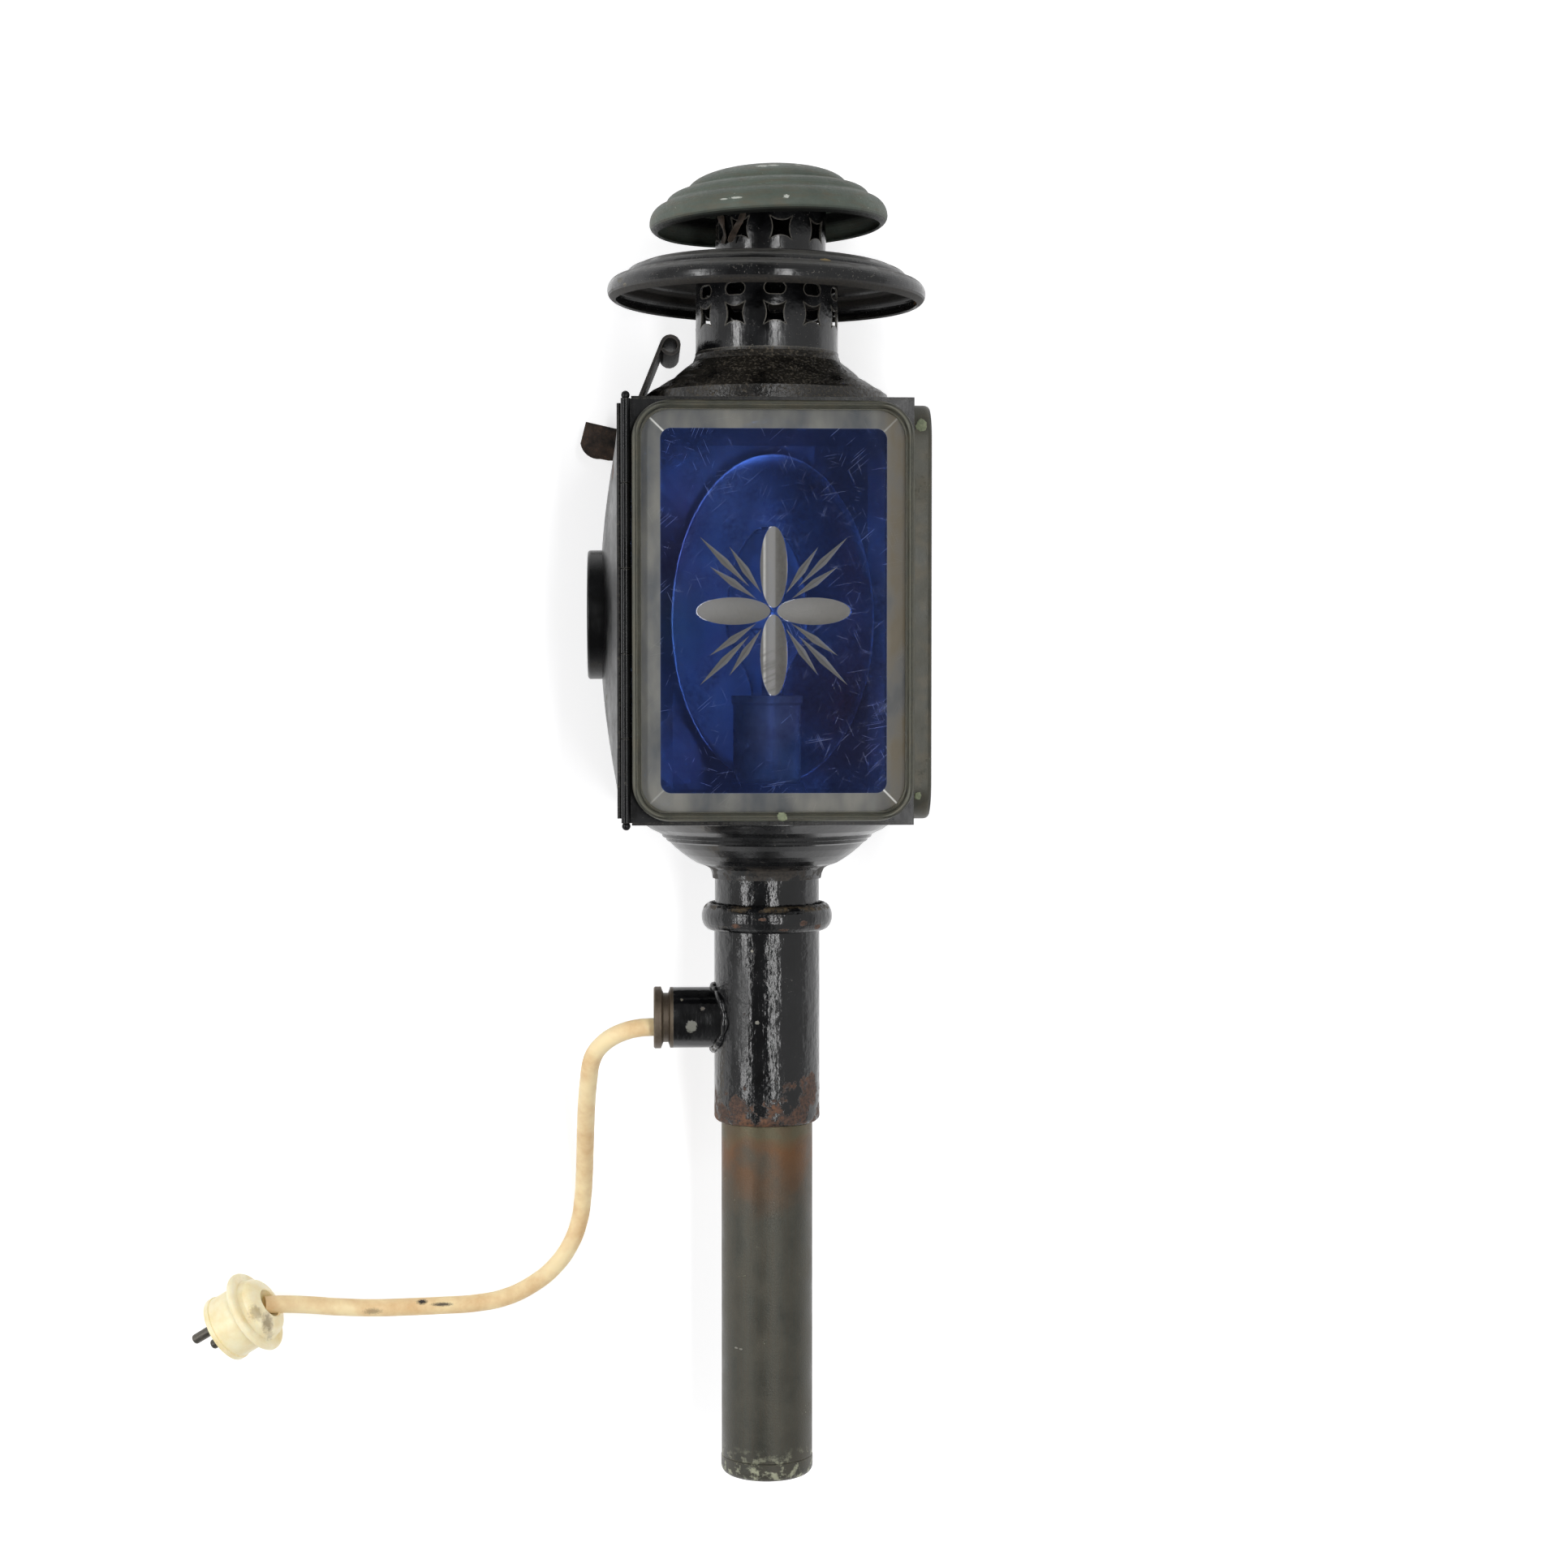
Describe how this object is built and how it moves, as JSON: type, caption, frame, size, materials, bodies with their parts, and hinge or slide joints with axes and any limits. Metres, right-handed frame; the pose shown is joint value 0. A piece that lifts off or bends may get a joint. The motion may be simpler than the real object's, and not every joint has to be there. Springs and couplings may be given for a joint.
{
  "type": "carriage lantern",
  "caption": "Antique carriage lantern converted to mains light, lying on its back: vented chimney, cut blue pane, domed door, black stem, brass candle tube, flex and plug.",
  "frame": {"origin": "middle of the raised field of the back panel, on the plane that the lantern lies on, level with the middle of the lamp case", "axes": "+Y along the lamp from the candle tube to the chimney, +X to the lamp's right as seen from its front, +Z out through the front pane"},
  "size_m": [0.3106, 0.5412, 0.131],
  "materials": {
    "black_japan": "worn gloss black japan",
    "patina": "matt grey-green patina",
    "soot": "rough, sooty black-brown",
    "bronze": "aged olive-brown brass",
    "tube_brass": "dull brown brass with verdigris",
    "gland_brass": "dull grey-brown brass",
    "blue_glass": "polished, bevelled and wheel-cut",
    "ruby_glass": "polished",
    "bulb_glass": "clear",
    "silvered": "silvered plate",
    "grey_paint": "worn semi-gloss grey",
    "rusty_steel": "rusty brown",
    "bakelite": "moulded, dark",
    "porcelain": "unglazed",
    "bulb_metal": "satin",
    "flex": "cream sheath with dirt",
    "plug_plastic": "cream, moulded",
    "plug_metal": "dull nickel"
  },
  "bodies": {
    "lantern": {"chimney_cap": "patina", "upper_gallery": "black_japan", "hood": "black_japan", "lower_gallery": "black_japan", "roof": "soot", "top_plate": "black_japan", "case_shell": "black_japan", "floor_plate": "black_japan", "back_panel": "black_japan", "back_reflector": "silvered", "front_bezel": "bronze", "side_bezel": "bronze", "front_pane": "blue_glass", "side_pane": "blue_glass", "hinge_pin": "black_japan", "catch_foot": "rusty_steel", "catch_rivets": "rusty_steel", "bottom_dish": "black_japan", "neck": "black_japan", "stem": "black_japan", "branch": "black_japan", "gland": "gland_brass", "tube_guide": "tube_brass", "socket_base": "gland_brass", "lampholder": "bakelite", "holder_core": "porcelain", "bulb_cap": "bulb_metal", "bulb_glass": "bulb_glass", "filament": "bulb_metal", "nipple": "gland_brass", "nipple_nut": "gland_brass", "inner_flex": "flex", "cord": "flex", "plug_base": "plug_plastic", "plug_cover": "plug_plastic", "plug_pins": "plug_metal"},
    "door": {"door_frame": "black_japan", "door_panel": "grey_paint", "door_reflector": "silvered", "lens_ring": "bronze", "bulls_eye": "ruby_glass", "lens_clip": "rusty_steel", "door_pull": "rusty_steel"},
    "catch": {"catch_leaf": "rusty_steel"},
    "tube": {"candle_tube": "tube_brass", "tube_cap": "tube_brass"}
  },
  "joints": [
    {"name": "door_hinge", "type": "hinge", "parent": "lantern", "child": "door", "pos_m": [-0.05795, 0, 0.1221], "axis": [0, 1, 0], "range_deg": [0, 110]},
    {"name": "catch_flex", "type": "hinge", "parent": "lantern", "child": "catch", "pos_m": [-0.0529, 0.08605, 0.0655], "axis": [0, 0, 1], "range_deg": [-1.5, 8], "stiffness_Nm_per_rad": 0.6},
    {"name": "tube_slide", "type": "slide", "parent": "lantern", "child": "tube", "axis": [0, -1, 0], "range_m": [0, 0.018]}
  ]
}
